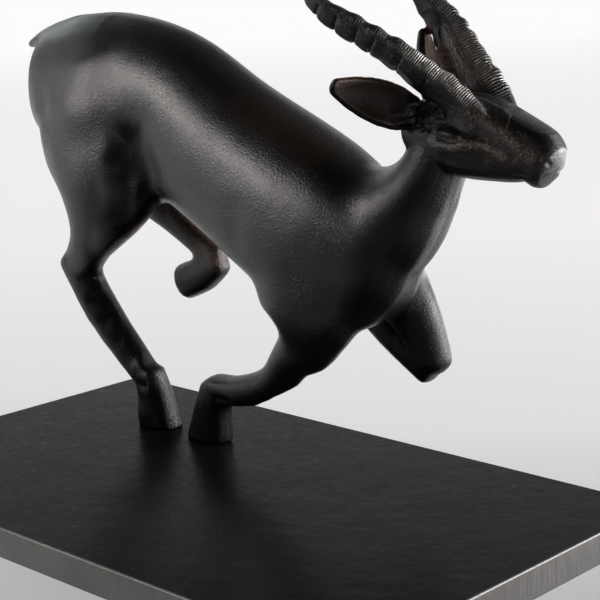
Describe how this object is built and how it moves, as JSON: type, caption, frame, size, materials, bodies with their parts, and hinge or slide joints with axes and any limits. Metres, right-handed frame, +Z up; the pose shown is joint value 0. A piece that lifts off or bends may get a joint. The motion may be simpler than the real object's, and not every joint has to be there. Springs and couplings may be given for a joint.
{
  "type": "springbok sculpture",
  "caption": "Cast springbok figure in a gathered gallop, with ringed horns, standing on a flat rectangular metal base plate.",
  "frame": {"origin": "centre of the base plate's underside", "axes": "+X the way the animal runs, along the plate's long side, +Y to the animal's left, +Z up"},
  "size_m": [0.2511, 0.14, 0.1781],
  "materials": {
    "bronze": "near-black brown patina, semi-gloss, worn brown on the ridges",
    "steel": "black grained satin top, bare brushed edges"
  },
  "bodies": {
    "root": {"springbok": "bronze", "base_plate": "steel"}
  },
  "joints": []
}
